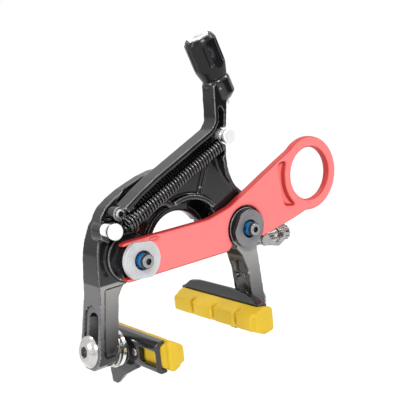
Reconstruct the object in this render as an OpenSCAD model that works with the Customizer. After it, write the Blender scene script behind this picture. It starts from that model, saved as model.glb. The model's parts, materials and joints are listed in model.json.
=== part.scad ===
// Direct mount caliper brake, two pivots on the frame, with its red assembly brace.
// Millimetres, +Z up. Origin: midway between the two mounting bolts, on the mounting face.
// +X right and +Y away for someone who looks at the mounting side.

/* [Mounting] */
// distance between the two mounting bolts
pivot_gap = 56; // [50:0.5:62]
// radius of the mounting bolts
bolt_r = 3; // [2.5:0.1:3.5]
// how far the bolt tips stand out of the mounting face
bolt_tip = 3.7; // [2:0.1:8]
// radius of the rear washers
washer_r = 8.3; // [7.5:0.1:9]
// thickness of the rear washers
washer_t = 2.4; // [1.5:0.1:3]
// distance between the two flats of a washer
washer_flats = 14.4; // [13:0.1:16]

/* [Brace] */
// thickness of the brace
brace_t = 4; // [3:0.1:4.4]
// half height of its left bar
bar_half = 8.3; // [7.5:0.1:9]
// radius of the finger ring's hole
ring_hole_r = 11.9; // [10:0.1:13]
// width of the ring round the hole
ring_w = 5; // [4:0.1:6]

/* [Arms] */
// length of the right arm's hub along its bolt
right_depth = 10.7; // [9:0.1:10.9]
// depth of the right arm's beam and column
plate_depth = 8; // [7.6:0.1:8.4]
// thickness of the right arm's web
web_t = 3.2; // [2.4:0.1:4]
// thickness of the flanges
flange_t = 1.9; // [1.4:0.1:2.4]
// depth of the left arm's leg
left_depth = 12; // [10:0.1:14]
// radius of the left arm's hub
hub_left_r = 10; // [9:0.1:10.5]
// radius of the right arm's hub
hub_right_r = 9; // [8:0.1:9.1]
// outer radius of the two bushings
bushing_r = 5; // [4.4:0.1:5.5]

/* [Pads] */
// width of the slots for the pad bolts
slot_w = 7.2; // [6.6:0.1:7.4]
// travel of the pads along the slots
pad_travel = 8; // [4:0.5:8]
// radius of the pad bolts
pad_bolt_r = 3; // [2.5:0.1:3]
// length of the right pad
pad_len = 56; // [50:1:58]
// width of a groove in the pads
groove_w = 1.6; // [1:0.1:2.5]

/* [Spring] */
// mean radius of the coil
coil_r = 2.5; // [2:0.1:2.6]
// radius of the spring wire
wire_r = 0.5; // [0.4:0.05:0.6]
// number of turns
coil_turns = 38; // [20:1:40]

/* [Adjuster] */
// radius of the adjuster knob
knob_r = 7; // [6.5:0.1:7.6]
// length of the adjuster knob
knob_len = 18.1; // [15:0.1:18.3]
// radius of the bore for the cable housing
housing_r = 2.6; // [2.4:0.05:2.8]

/* [Hidden] */
px = pivot_gap / 2;
run = 0.05;
gap = 0.3;
eps = 0.01;
brace_y0 = washer_t;
brace_y1 = brace_y0 + brace_t;
rb_y0 = washer_t + 0.1;
rb_y1 = rb_y0 + right_depth;
plate_y1 = rb_y0 + plate_depth;
web_y0 = plate_y1 - web_t;
cut_y = brace_y1 + 0.2;
hub_y0 = brace_y1 + 3.1;
cross_y0 = rb_y1 + 0.6;
cross_y1 = cross_y0 + 4.9;
web_a0 = cross_y0 + 1.6;
leg_y0 = 12;
leg_y1 = leg_y0 + left_depth;
tilt_l = 10.5;
tilt_r = 4.5;
leg_t = 9.4;
leg_rt = 7;
pad_l = [-px - 18.8, 18, -35.9];
pad_r = [px + 7.2, 8.4, -34.6];
dish_l = 1.5;
dish_r = 0.55;
knob_top = [px - 12, 7.2, 82.4];
knob_tilt = 158.96;
spring_y = 2.8;
post_u = [px - 6.1, 0, 41];
post_l = [-px - 10.5, 0, 13.7];
coil_a = [-px - 4, spring_y, 14.5];
coil_b = [px - 9.6, spring_y, 37.9];
tail = [-px - 4.3, 18.9];
roller = [0, 20];
roller_end = [5.3, 19.35];
roller_r = 3.4;
anchor = [px + 18, 13, -10.2];
lever_p = [px + 14.6, -9.4];
black = [0.05, 0.05, 0.055];
silver = [0.8, 0.8, 0.8];
red = [0.86, 0.25, 0.26];
yellow = [0.88, 0.74, 0.12];

// which piece is drawn

// corner rounding of an outline whose points are [x, z, radius]
function unit(v) = v / norm(v);
function wrap(a) = a > 180 ? a - 360 : (a < -180 ? a + 360 : a);
function corner(a, b, c, r, n) =
  let (u = unit(a - b), v = unit(c - b), h = acos(u * v) / 2, d = r / tan(h),
    o = b + unit(u + v) * (r / sin(h)), s = b + u * d - o, e = b + v * d - o,
    a0 = atan2(s[1], s[0]), da = wrap(atan2(e[1], e[0]) - a0))
  [for (i = [0:n]) o + r * [cos(a0 + da * i / n), sin(a0 + da * i / n)]];
function xz(p) = [p[0], p[1]];
function smooth(p, n = 4) = [for (i = [0:len(p) - 1])
  let (k = len(p), b = p[i])
  each (b[2] > 0 ? corner(xz(p[(i + k - 1) % k]), xz(b), xz(p[(i + 1) % k]), b[2], n)
    : [xz(b)])];

// a prism between two depths from an outline in x and z
module slab(y0, y1) translate([0, y1, 0]) rotate([90, 0, 0]) linear_extrude(y1 - y0) children();

// a prism between two x from an outline in y and z
module slab_x(x0, x1) translate([x0, 0, 0]) rotate([90, 0, 90]) linear_extrude(x1 - x0) children();

// a round bar along y
module bar_y(p, y0, y1, r, n = 64) translate([p[0], y1, p[1]]) rotate([90, 0, 0])
  cylinder(h = y1 - y0, r = r, $fn = n);

module cone_y(p, y0, y1, r0, r1) translate([p[0], y0, p[1]]) rotate([-90, 0, 0])
  cylinder(h = y1 - y0, r1 = r0, r2 = r1, $fn = 64);

// a hexagon socket that opens towards +Y at y1
module socket_y(p, y0, y1, af) translate([p[0], y1, p[1]]) rotate([90, 0, 0])
  cylinder(h = y1 - y0, r = af / sqrt(3), $fn = 6);

// local frame of a pad bolt: +X runs from its head into the pad holder
module at_pad_left() translate(pad_l) rotate([0, tilt_l, 0]) children();
module at_pad_right() translate(pad_r) rotate([0, -tilt_r, 0]) mirror([1, 0, 0]) children();
module rod_x(x0, x1, r) translate([x0, 0, 0]) rotate([0, 90, 0])
  cylinder(h = x1 - x0, r = r, $fn = 64);
module taper_x(x0, x1, r0, r1) translate([x0, 0, 0]) rotate([0, 90, 0])
  cylinder(h = x1 - x0, r1 = r0, r2 = r1, $fn = 64);

// local frame of the adjuster: +Z runs down the cable from the top of the knob
module at_knob() translate(knob_top) rotate([0, knob_tilt, 0]) children();
module rod_z(z0, z1, r, n = 64) translate([0, 0, z0]) cylinder(h = z1 - z0, r = r, $fn = n);
module taper_z(z0, z1, r0, r1, n = 64) translate([0, 0, z0])
  cylinder(h = z1 - z0, r1 = r0, r2 = r1, $fn = n);

// a stadium along z' in the y' z' plane of a pad frame, cut along x
module stadium(x0, x1, z0, z1, w) {
  translate([x0, -w / 2, z0]) cube([x1 - x0, w, z1 - z0]);
  translate([0, 0, z0]) rod_x(x0, x1, w / 2);
  translate([0, 0, z1]) rod_x(x0, x1, w / 2);
}

function brace_outline() = [[-px - 7.6, bar_half, 2], [px - 19.5, bar_half, 10], [px - 8, 11, 0],
  [px + 21, 25, 0], [px + 32, 30, 12], [px + 45, 33, 0], [px + 45, 0.5, 0],
  [px + 37, -0.2, 0], [px + 30.4, -2, 6], [px + 19.6, -4.2, 0], [px + 10.2, -5.9, 1.2],
  [px + 6, -8, 0], [px - 6.4, -7.5, 0], [px - 8, -6.2, 1.2], [px - 10.6, -bar_half, 1.5],
  [-px - 7.6, -bar_half, 2]];
ring_c = [px + 41.2, 16.4];

module brace() {
  color(red)
  difference() {
    union() {
      difference() {
        slab(brace_y0, brace_y1) polygon(smooth(brace_outline()));
        slab(brace_y0 - 1, brace_y1 + 1) translate([px + 41.2, -10]) square([40, 60]);
      }
      bar_y(ring_c, brace_y0, brace_y1, ring_hole_r + ring_w);
    }
    bar_y(ring_c, brace_y0 - 1, brace_y1 + 1, ring_hole_r);
    bar_y([px, 0], brace_y0 - 1, brace_y1 + 1, hub_right_r + 0.5);
    slab(brace_y0 - 1, brace_y1 + 1) polygon([[px, 0], [px + 12, -8], [px + 6, -14],
      [px - 8, -14], [px - 9.2, -7]]);
    bar_y([-px, 0], brace_y0 - 1, brace_y1 + 1, 6 + gap);
    slab(brace_y0 - 1, brace_y1 + 1) translate([-px - 20, -6 - gap]) square([20, 12 + gap * 2]);
    slab(brace_y0 - 1, brace_y0 + 2.2) difference() {
      intersection() {
        translate(ring_c) circle(r = ring_hole_r + ring_w + 3.2, $fn = 64);
        polygon([[px + 22, 24], [px + 27, 24.5], [px + 34, 3], [px + 24, 5]]);
      }
      translate(ring_c) circle(r = ring_hole_r + ring_w - 0.6, $fn = 64);
    }
    slab(brace_y0 - 1, brace_y0 + 1.4) translate([-px + 5.2, bar_half - 2.4])
      square([5.4, 1.5]);
  }
}

module washer(turn) {
  color(silver)
  difference() {
    intersection() {
      bar_y([0, 0], 0, washer_t, washer_r);
      rotate([0, -turn, 0]) translate([-20, -1, -washer_flats / 2])
        cube([40, washer_t + 2, washer_flats]);
    }
    bar_y([0, 0], -1, washer_t + 1, bolt_r + 0.9);
  }
}
module washer_left() translate([-px, 0, 0]) washer(-7);
module washer_right() translate([px, 0, 0]) washer(58);

module pivot_bolt(y1, head_t) {
  color(black)
  difference() {
    union() {
      cone_y([0, 0], -bolt_tip, -bolt_tip + 0.8, bolt_r - 0.7, bolt_r);
      bar_y([0, 0], -bolt_tip + 0.8, 0, bolt_r);
      bar_y([0, 0], 0, y1, bolt_r - 0.02);
      bar_y([0, 0], y1, y1 + head_t - 0.6, 5);
      cone_y([0, 0], y1 + head_t - 0.6, y1 + head_t, 5, 4.4);
    }
    socket_y([0, 0], y1 + head_t - 3, y1 + head_t + eps, 5);
    bar_y([0, 0], -bolt_tip - 1, -bolt_tip + 0.9, 1.3);
  }
}
module pivot_bolt_left() translate([-px, 0, 0]) pivot_bolt(leg_y1 + 1.2, 5.4);
module pivot_bolt_right() translate([px, 0, 0]) pivot_bolt(rb_y1 + 0.9, 5);

module bushing_left() {
  color(black)
  difference() {
    union() {
      bar_y([-px, 0], washer_t, brace_y1, 6);
      translate([-px, hub_y0, 0]) rotate([90, 0, 0])
        cylinder(h = hub_y0 - brace_y1, r = 9.3, $fn = 6);
      bar_y([-px, 0], hub_y0, leg_y1 + 0.2, bushing_r);
    }
    bar_y([-px, 0], 0, leg_y1 + 1, bolt_r + run);
  }
}
module bushing_right() {
  color(black)
  difference() {
    bar_y([px, 0], washer_t, rb_y1 + 0.2, bushing_r);
    bar_y([px, 0], 0, rb_y1 + 1, bolt_r + run);
  }
}
module ring_washer(p, y0, y1, ro, ri) difference() {
  bar_y(p, y0, y1, ro);
  bar_y(p, y0 - 1, y1 + 1, ri);
}
module front_washer_left() {
  color(silver) ring_washer([-px, 0], leg_y1 + 0.2, leg_y1 + 1.2, 6.4, bolt_r + run);
}
module front_washer_right() {
  color(silver) ring_washer([px, 0], rb_y1 + 0.2, rb_y1 + 0.9, 5.8, bolt_r + run);
}

// left arm: leg outside the wheel, a plate over the tyre, and the cable anchor's lug
function left_outer() = [[-px - 13.2, 3], [-px - 11.6, 10.6], [-px - 10.7, 15], [-px - 9.2, 18.5],
  [-px - 7, 21.1], [-px - 2.6, 23.9], [-px + 2.6, 26.4], [-px + 7.4, 28.1], [-px + 12.8, 29.9],
  [-px + 19, 31.2]];
function left_plate() = concat(left_outer(), [[0, 31.5], [10, 30], [px - 8, 26.5], [px + 2, 20.6],
  [px + 10, 13], [px + 15, 5], [px + 17.5, -3], [px + 18, -11.5], [px + 11.5, -11.5],
  [px + 10.4, -4], [px + 8, 2.6], [px + 4.6, 7], [px, 8.8], [px - 5, 7.8], [px - 8.6, 4],
  [px - 12, 0.6], [px - 15.6, 0.6], [px - 16, 6], [-12, 6], [-14.4, -4], [-px + 8, -8], [-px, -9]]);
function left_pocket() = [[-px - 8.6, 11.5], [-px - 8.2, 15.2], [-px - 7, 17.6],
  [-px - 5.2, 19.6], [-px - 1.6, 22], [-px + 3.4, 24.4], [-px + 8.2, 26], [-px + 13.5, 27.8],
  [-px + 19.3, 29],
  [0, 29.2], [9.4, 27.8], [px - 9, 24.6], [px + 0.6, 18.8], [px + 8, 11.8], [px + 4, 10],
  [px, 11], [px - 6.4, 9.8], [px - 11, 5], [-8, 5], [-px + 13, -2], [-px + 9, 5], [-px + 4, 11]];
// x of a line along a leg, a distance s inside its outer face
function left_x(s, z) = pad_l[0] + s / cos(tilt_l) + (z - pad_l[2]) * tan(tilt_l);
function right_x(s, z) = pad_r[0] - s / cos(tilt_r) - (z - pad_r[2]) * tan(tilt_r);
function left_leg() = [[-px - 14, -5], [-px - 13.2, 3], [-px - 11.6, 10.6], [-px - 10.7, 15],
  [-px - 8.8, 17.5], [-px - 6, 14],
  [-px + 2, -9.8], [-px - 1.2, -10.6], [-px - 3.6, -12.6], [left_x(leg_t, -15.6), -15.6],
  [left_x(leg_t, -43.6), -43.6], [left_x(0, -43.6), -43.6], [left_x(0, -14), -14]];
function left_side() = [[leg_y0, 14], [leg_y0, 0], [leg_y0 - 0.4, -15], [leg_y0 - 1.2, -30],
  [leg_y0 - 1.8, -37], [leg_y0 - 0.4, -41], [leg_y0 + 3, -43.5], [leg_y1 - 3, -43.5],
  [leg_y1 + 0.4, -41], [leg_y1 + 1.8, -37], [leg_y1 + 1.2, -30], [leg_y1 + 0.4, -15],
  [leg_y1, 0], [leg_y1 - 1, 8], [leg_y1 - 3.4, 14], [leg_y1 - 6, 18], [leg_y0, 18]];

module arm_left() {
  color(black)
  difference() {
    union() {
      intersection() {
        slab(5, 30) polygon(left_leg());
        slab_x(-60, 0) polygon(left_side());
      }
      difference() {
        slab(cross_y0, cross_y1) polygon(left_plate());
        slab(cross_y0 - 1, web_a0) difference() {
          polygon(left_pocket());
          translate([-1, -1]) circle(r = 16, $fn = 96);
          translate([-px, 0]) circle(r = hub_left_r + 1.2, $fn = 64);
          translate([2.6, 19.7]) circle(r = 7.4, $fn = 64);
        }
      }
      bar_y([-px, 0], hub_y0, leg_y1, hub_left_r);
      slab(8, cross_y0 + 2) polygon(smooth([[-px - 12.8, 10, 1.5], [-px - 12.4, 16, 2.5],
        [-px - 2, 15.7, 0.8], [-px - 2, 10.4, 0], [-px - 7.6, 10.4, 0], [-px - 9.5, 8, 0]]));
      slab(leg_y0, cross_y0 + 1) polygon(concat([for (i = [2:6]) left_outer()[i]],
        [for (i = [4:-1:1]) left_pocket()[i]]));
      slab(9.2, cross_y1) translate([px + 11.6, -11.5]) square([6.4, 9]);
      translate([-px + 1.6, 12.6, 8.2]) rotate([0, 53, 0])
        cylinder(h = 5.6, r = 2.7, $fn = 48);
      bar_y([2.6, 19.7], cross_y0, cross_y1, 6.2);
    }
    bar_y([-1, -1], 0, 40, 13.4, 96);
    slab(0, 40) polygon([[-14.4, -1], [12.4, -1], [12.4, -20], [-14.4, -20]]);
    bar_y([-px, 0], 0, 40, bushing_r + run);
    bar_y(roller, 0, 40, roller_r + gap);
    bar_y(roller_end, 0, 40, roller_r + gap);
    slab(0, 40) polygon([roller + [0, 3.7], roller + [0, -3.7],
      roller_end + [0, -3.7], roller_end + [0, 3.7]]);
    at_pad_left() stadium(-3, leg_t + 3, 0, pad_travel + 4, slot_w);
    at_pad_left() stadium(-3, 1.3, -1, pad_travel + 5.5, slot_w + 3);
    translate([-px + 1.6, 12.6, 8.2]) rotate([0, 53, 0])
      translate([0, 0, -1]) cylinder(h = 12, r = 1.5, $fn = 48);
    translate([0, anchor[1], anchor[2]]) rod_x(px + 8, px + 20, 2.5);
    bar_y(lever_p, 5, 10.4, 1.5);
    bar_y([post_l[0], post_l[2]], 5, 11, 1.6);
    intersection() {
      slab(5, 14) polygon([[left_x(2.4, -11), -11], [left_x(2.4, -37), -37],
        [left_x(3.4, -38.4), -38.4], [left_x(leg_t - 2, -38.4), -38.4],
        [left_x(leg_t - 1, -37), -37], [left_x(leg_t - 1, -35), -35],
        [left_x(leg_t + 2, -33), -33], [left_x(leg_t + 2, -15.6), -15.6], [-px, -14], [-px, -11]]);
      slab_x(-60, 0) polygon([[5, -10], [leg_y0 + 0.7, -10], [leg_y0 + 0.4, -15],
        [leg_y0 - 0.4, -30], [leg_y0 - 1, -37], [leg_y0 - 0.6, -39], [5, -39]]);
    }
  }
}
module spring_post(p, y1) {
  color(silver) {
    cone_y(p, 0, 0.4, 2.8, 3.2);
    bar_y(p, 0.4, 1.4, 3.2);
    bar_y(p, 1.4, 4.2, 1.9);
    bar_y(p, 4.2, y1, 2.5);
    bar_y(p, y1, y1 + 2.6, 1.6);
  }
}
module spring_post_left() spring_post([post_l[0], post_l[2]], 8);
module spring_post_right() spring_post([post_u[0], post_u[2]], 6.2);

module centring_screw() {
  color(silver)
  translate([-px + 1.6, 12.6, 8.2]) rotate([0, 53, 0]) difference() {
    rod_z(1, 9.4, 1.5, 48);
    translate([0, 0, 8]) cylinder(h = 2, r = 0.9, $fn = 6);
  }
}
module anchor_sleeve() {
  color(silver)
  translate([0, anchor[1], anchor[2]]) difference() {
    union() {
      rod_x(anchor[0], anchor[0] + 8, 3);
      rod_x(anchor[0] + 8, anchor[0] + 9.2, 3.5);
    }
    rod_x(anchor[0] - 1, anchor[0] + 12, 2.5);
  }
}
module anchor_bolt() {
  color(silver)
  translate([0, anchor[1], anchor[2]]) difference() {
    union() {
      rod_x(px + 11.7, anchor[0] + 9.2, 2.5);
      rod_x(anchor[0] + 9.2, anchor[0] + 14.2, 3.3);
      for (i = [0:11])
        rotate([i * 30, 0, 0]) translate([anchor[0] + 9.2, -0.5, 3]) cube([5, 1, 0.65]);
    }
    translate([anchor[0] + 11.6, 0, 0]) rotate([0, 90, 0])
      cylinder(h = 4, r = 2.2, $fn = 6);
  }
}
module release_pin() {
  color(silver) {
    bar_y(lever_p, 6.6, 7, 2.4);
    bar_y(lever_p, 7, 9.2, 1.45);
    bar_y(lever_p, 9.2, 10.3, 1.5);
  }
}
module release_lever() {
  color(silver)
  difference() {
    union() {
      bar_y(lever_p, 7.1, 9.1, 2.7);
      slab(7.1, 9.1) polygon(smooth([[px + 14, -11.8, 0], [px + 18.6, -12.9, 2],
        [px + 22.4, -14, 2], [px + 26.2, -12.2, 2], [px + 27.8, -8.6, 0.6],
        [px + 26.4, -8.2, 0.5], [px + 25.2, -10.9, 2], [px + 22.4, -12.3, 2],
        [px + 19.4, -11.3, 2], [px + 16.8, -8.6, 0]]));
    }
    bar_y(lever_p, 6, 10, 1.5);
  }
}

// right arm: a web with flanges, the column for the adjuster, and its own leg
function right_outer() = [[px - 10.1, 62.4, 0], [px - 10.9, 47.8, 3], [px - 13.4, 44.7, 3],
  [-px + 11.5, 30.3, 0], [-px + 4, 26.2, 0], [-px - 0.4, 23.5, 0], [-px - 3.6, 21.6, 0],
  [-px - 5.4, 19, 0], [-px - 4, 16.3, 0], [-px + 8, 17.6, 0], [-px + 19, 17.5, 0], [0, 8, 0],
  [px - 10, -3, 0], [px, -4, 0], [px + 8.2, 2, 0], [px + 7.4, 6, 0], [px + 4.5, 11.5, 0],
  [px - 0.3, 19, 0], [px - 4.4, 25, 0], [px - 6.2, 28.4, 0], [px - 7, 31.5, 0],
  [px - 6.3, 39.3, 0], [px - 4.9, 48, 0], [px - 3.8, 55, 0], [px - 1.4, 60.4, 0]];
function right_pocket() = [[px - 8.6, 56, 1], [px - 9, 47.2, 2], [px - 12.4, 42.9, 2],
  [-px + 12.2, 28.2, 0], [-px + 4.7, 24.1, 0], [-px + 0.6, 21.4, 0.5], [-px + 0.4, 18.8, 0.8],
  [-px + 8, 19.5, 0], [-px + 19, 19.6, 0], [0, 12, 0], [px - 12, 6, 0],
  [px + 4.6, 6.5, 0], [px + 2.8, 10.6, 0], [px - 2, 18, 0], [px - 6.2, 24.2, 0],
  [px - 8, 28, 0], [px - 8.9, 31.4, 0], [px - 8.1, 39.4, 0], [px - 6.7, 46, 0], [px - 5.9, 51, 1]];
function right_leg() = [[px + 7, -2, 0], [px + 5.1, -8.4, 0], [right_x(0, -18), -18, 0],
  [right_x(0, -40), -40, 0], [right_x(leg_rt, -40), -40, 0],
  [right_x(leg_rt, -18.5), -18.5, 2], [px - 3.6, -11.5, 2], [px - 6.2, -7.8, 1], [px - 5, 0, 0]];

module arm_right() {
  color(black)
  difference() {
    union() {
      difference() {
        slab(rb_y0, plate_y1) polygon(smooth(right_outer()));
        slab(rb_y0 - 1, web_y0) difference() {
          polygon(smooth(right_pocket()));
          translate([0.2, 1]) circle(r = 18.7, $fn = 96);
          translate([px, 0]) circle(r = hub_right_r + 1.4, $fn = 64);
          polygon([[13.6, 29.5], [12.4, 29.9], [6, 16], [8.4, 16]]);
        }
        slab(rb_y0 - 1, cut_y) polygon([[-45, -30], [-45, 12.4], [-36, 16.5],
          [coil_b[0] + 0.2, 41.9], [coil_b[0] + 1.9, 41.9], [coil_b[0] + 1.9, 33.5],
          [coil_b[0] + 0.2, 31.5], [coil_b[0] + 0.2, 20], [60, 20], [60, -30]]);
        slab_x(coil_b[0] + 0.2, 60) polygon([[0, 30], [rb_y0, 30], [cut_y, 20.1], [cut_y, 19],
          [0, 19]]);
        bar_y([0.2, 1], 0, 40, 16.8, 96);
      }
      bar_y([px, 0], rb_y0, rb_y1, hub_right_r);
      bar_y([post_u[0], post_u[2]], 6.2, plate_y1, 3.1);
      bar_y(tail, 5.8, plate_y1, 2.9);
      bar_y(roller, web_y0, rb_y1, 2.9);
      intersection() {
        difference() {
          bar_y([0.2, 1], 4.6, web_y0 + 1, 18.6, 96);
          bar_y([0.2, 1], 0, 40, 16.8, 96);
        }
        slab(4, 12) polygon([[0.2, 1], [23.2, 20.3], [10, 40], [-14, 40], [-11, 28.8]]);
      }
      intersection() {
        slab(rb_y0, 18) polygon(smooth(right_leg()));
        slab_x(0, 60) polygon(concat([[rb_y0, 0]],
          [for (a = [180:15:360]) [pad_r[1], -34] + 5.9 * [cos(a), sin(a)]],
          [[rb_y0 + 11.8, -16], [rb_y1, -10], [rb_y1, 0]]));
      }
      at_knob() taper_z(knob_len + 0.2, knob_len + 1.4, 5.4, 6);
      at_knob() rod_z(knob_len + 1.4, knob_len + 8, 6);
      at_knob() taper_z(knob_len + 8, knob_len + 10.4, 6, 3.6);
    }
    bar_y([px, 0], 0, 40, bushing_r + run);
    bar_y(tail, 0, 40, 2.1);
    bar_y(roller, web_y0 + 1, 40, 1.5);
    bar_y([post_u[0], post_u[2]], 0, 6.2, 3.4);
    bar_y([post_u[0], post_u[2]], 5, 9, 1.6);
    at_knob() rod_z(knob_len - 1, knob_len + 20, 2.3);
    at_pad_right() stadium(-3, leg_rt + 3, 0, pad_travel + 2, slot_w);
    at_pad_right() translate([leg_rt - 1.6, -3.6, 13.5]) cube([10, 7.2, 7]);
  }
}
module tail_pin() {
  color(silver) ring_washer(tail, 5.3, plate_y1, 2.1, 1.2);
}
module roller_pin() {
  color(silver) {
    bar_y(roller, web_y0 + 1, rb_y1 + 5.4, 1.5);
    bar_y(roller, rb_y1 + 5.4, rb_y1 + 6, 2.4);
  }
}
module cam_roller() {
  color(black) ring_washer(roller, rb_y1 + 0.2, rb_y1 + 5.3, roller_r, 1.5 + run);
}

// the return spring: one wire, from the hook on one post to the hook on the other
axis_v = unit(coil_b - coil_a);
side_v = cross(axis_v, [0, 1, 0]);
coil_len = norm(coil_b - coil_a);
steps = coil_turns * 9;
function coil_at(i) = let (a = 90 + 360 * coil_turns * i / steps)
  coil_a + axis_v * (coil_len * i / steps) + coil_r * (cos(a) * side_v + sin(a) * [0, 1, 0]);
function hook(p, turn, span, n) = [for (i = [0:n]) let (a = turn + span * i / n)
  [p[0], spring_y, p[2]] + (1.9 + wire_r + 0.05) * [cos(a), 0, sin(a)]];
path = concat(hook(post_l, 120, 190, 10), [coil_a - axis_v * 1.6 + [0, 0.6, -0.6]],
  [for (i = [0:steps]) coil_at(i)], [coil_b + axis_v * 1.2 + [0, 1.2, -0.3]],
  hook(post_u, 195, 190, 10));
function tangent(i) = unit(path[min(i + 1, len(path) - 1)] - path[max(i - 1, 0)]);
function flat(v, t) = unit(v - t * (v * t));
frames = [for (i = 0, n = flat([0, 1, 0], tangent(0)); i < len(path);
  i = i + 1, n = i < len(path) ? flat(n, tangent(i)) : n) n];
module return_spring() {
  sides = 6;
  count = len(path);
  color(black) polyhedron(
    points = [for (i = [0:count - 1], j = [0:sides - 1])
      let (t = tangent(i), n = frames[i], b = cross(t, n), a = 360 * j / sides)
      path[i] + wire_r * (cos(a) * n + sin(a) * b)],
    faces = concat([[for (j = [0:sides - 1]) j]],
      [for (i = [0:count - 2], j = [0:sides - 1])
        [i * sides + j, (i + 1) * sides + j, (i + 1) * sides + (j + 1) % sides,
          i * sides + (j + 1) % sides]],
      [[for (j = [sides - 1:-1:0]) (count - 1) * sides + j]]));
}

module housing_stop() {
  color(silver)
  at_knob() difference() {
    union() {
      rod_z(-0.5, 2.8, 4.5);
      rod_z(2.8, 10, 3.6);
      rod_z(10, knob_len + 12.6, 2.2);
    }
    rod_z(-2, 8, housing_r);
    rod_z(7, knob_len + 20, 1.1);
    for (i = [0:5])
      rotate([0, 0, i * 60]) translate([3.2, -0.6, -1]) cube([3, 1.2, 1.4]);
  }
}
module adjuster_knob() {
  color(black)
  at_knob() difference() {
    intersection() {
      union() {
        taper_z(0, 2.4, 5.7, knob_r);
        rod_z(1.6, knob_len - 5.6, knob_r);
        taper_z(knob_len - 5.6, knob_len, knob_r, 5.5);
      }
      rod_z(-1, knob_len + 1, (knob_r - 0.4) * 2 / sqrt(3), 6);
    }
    rod_z(-1, 2.9, 4.6);
    rod_z(2, 10.1, 3.7);
    rod_z(9, knob_len + 1, 2.3);
    for (i = [0:5])
      rotate([0, 0, i * 60]) translate([knob_r + 0.9, 0, 2.6])
        cylinder(h = knob_len - 8.6, r = 1.4, $fn = 24);
  }
}

// pads: shapes are given for the left side, with +X towards the rim
module holder(y0, y1, z0, z1, fin) {
  w = 4.8;
  difference() {
    slab(y0, y1) polygon(smooth([[0, z0 + 1.4, 1], [0, z1 - 1.4, 1], [2, z1, 0.8],
      [w, z1, 0], [w, z0, 0], [2, z0, 0.8]]));
    slab(y0 - 1, y1 - 1.6) polygon([[2.5, z0 + 2.2], [2.5, z1 - 2.2], [w, z1 - 1.2],
      [w + 1, z1 - 1.2], [w + 1, z0 + 1.2], [w, z0 + 1.2]]);
  }
  intersection() {
    slab(0, 40) polygon([[0, z0 + 2], [2.4, z0 + 0.2], [0.2, z0 - fin[0]],
      [-1.6, z0 - fin[0]], [-1, z0 - 3]]);
    slab_x(-10, 10) polygon([[fin[1], z0 + 2], [fin[1], z0 - 0.6], [fin[1] + 9, z0 - fin[0] * 0.55],
      [fin[2] - 5, z0 - fin[0]], [fin[2] - 1.5, z0 - fin[0]], [fin[2], z0 - fin[0] * 0.5],
      [fin[2], z0 + 2]]);
  }
}
// raised back of the right holder, behind the pad
module crown(z1) intersection() {
  slab(-8, 46) polygon([[0, z1 - 2], [0, z1 + 2.2], [0.7, z1 + 3.3], [1.8, z1 + 3.5],
    [3.6, z1 + 1.2], [4.8, z1], [4.8, z1 - 1.1], [2.4, z1 - 2]]);
  slab_x(-1, 6) polygon([[-8, z1 - 3], [-8, z1 - 0.5], [-4, z1 + 1.2], [3, z1 + 2.6],
    [14, z1 + 3.4], [26, z1 + 3.6], [36, z1 + 3.3], [42, z1 + 2.4], [45.6, z1 - 1.4],
    [45.6, z1 - 3]]);
}
module pad_block(y0, y1, z0, z1, f0, f1, depth, grooves) {
  difference() {
    union() {
      slab(y0 + 3, y1) polygon([[2.6, z0 + 2.3], [2.6, z1 - 2.3], [4.8, z1 - 1.3],
        [4.8, z0 + 1.3]]);
      slab(y0, y1) polygon([[4.9, z0 + 1.3], [4.9, z1 - 1.3], [5.6, z1 - 0.2],
        [depth, f1], [depth, f0], [5.6, z0 + 0.2]]);
      slab(y0 + 3, y1) polygon([[4.7, z0 + 1.3], [4.7, z1 - 1.3], [5, z1 - 1.3],
        [5, z0 + 1.3]]);
    }
    for (g = grooves)
      slab(g - groove_w / 2, g + groove_w / 2) polygon([[depth - 3.4, z0 - 2],
        [depth - 3.4, z1 + 2], [depth + 2, z1 + 2], [depth + 2, z0 - 2]]);
    slab_x(depth - 3, depth + 2) polygon([[y0 - 1, z0 - 2], [y0 - 1, z1 + 2],
      [y0 + 1.2, z1 + 2], [y0 + 1.2, z0 - 2]]);
    slab_x(depth - 3, depth + 2) polygon([[y1 + 1, z0 - 2], [y1 + 1, z1 + 2],
      [y1 - 1.2, z1 + 2], [y1 - 1.2, z0 - 2]]);
  }
}
module pad_tail() slab(-12, -8.1) polygon(smooth([[0.2, -42.4, 1], [0.2, -32.4, 1],
  [4.9, -31.5, 0], [5.6, -31.5, 0], [5.6, -43.3, 0], [4.9, -43.3, 0]]));
hl = [-px - 4.3, 0, 0];
hr = [px - 1.6, 0, 0];
sl = leg_t + 2 * dish_l;
sr = leg_rt + 2 * dish_r;
screw_z = -38.2;

module pad_holder_left() {
  color(black)
  difference() {
    union() {
      translate(hl) holder(-7, 45, -45, -31.5, [10.2, 8, 27]);
      intersection() {
        at_pad_left() rod_x(sl, sl + 4, 6);
        slab(0, 40) translate([-40, -60]) square([40 + hl[0] + 2, 40]);
      }
    }
    at_pad_left() rod_x(0, 15.4, pad_bolt_r);
    translate([hl[0] - 1, -6.4, -41.4]) cube([3.6, 11.4, 6.2]);
    translate([0, 7.6, screw_z]) rod_x(hl[0] - 1, hl[0] + 3, 1.5);
  }
}
module brake_pad_left() {
  color(yellow)
  difference() {
    translate(hl) pad_block(-10, 43.2, -45, -31.5, -42.2, -35.6, 12.6, [0, 15, 29.5]);
    translate([0, 7.6, screw_z]) rod_x(hl[0] - 1, hl[0] + 4, 1.55);
  }
}
module pad_screw_left() {
  color(silver) translate([0, 7.6, screw_z]) difference() {
    rod_x(hl[0] - 0.5, hl[0] + 3.9, 1.5);
    rotate([0, 90, 0]) translate([0, 0, hl[0] - 1]) cylinder(h = 1.8, r = 0.85, $fn = 6);
  }
}
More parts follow.
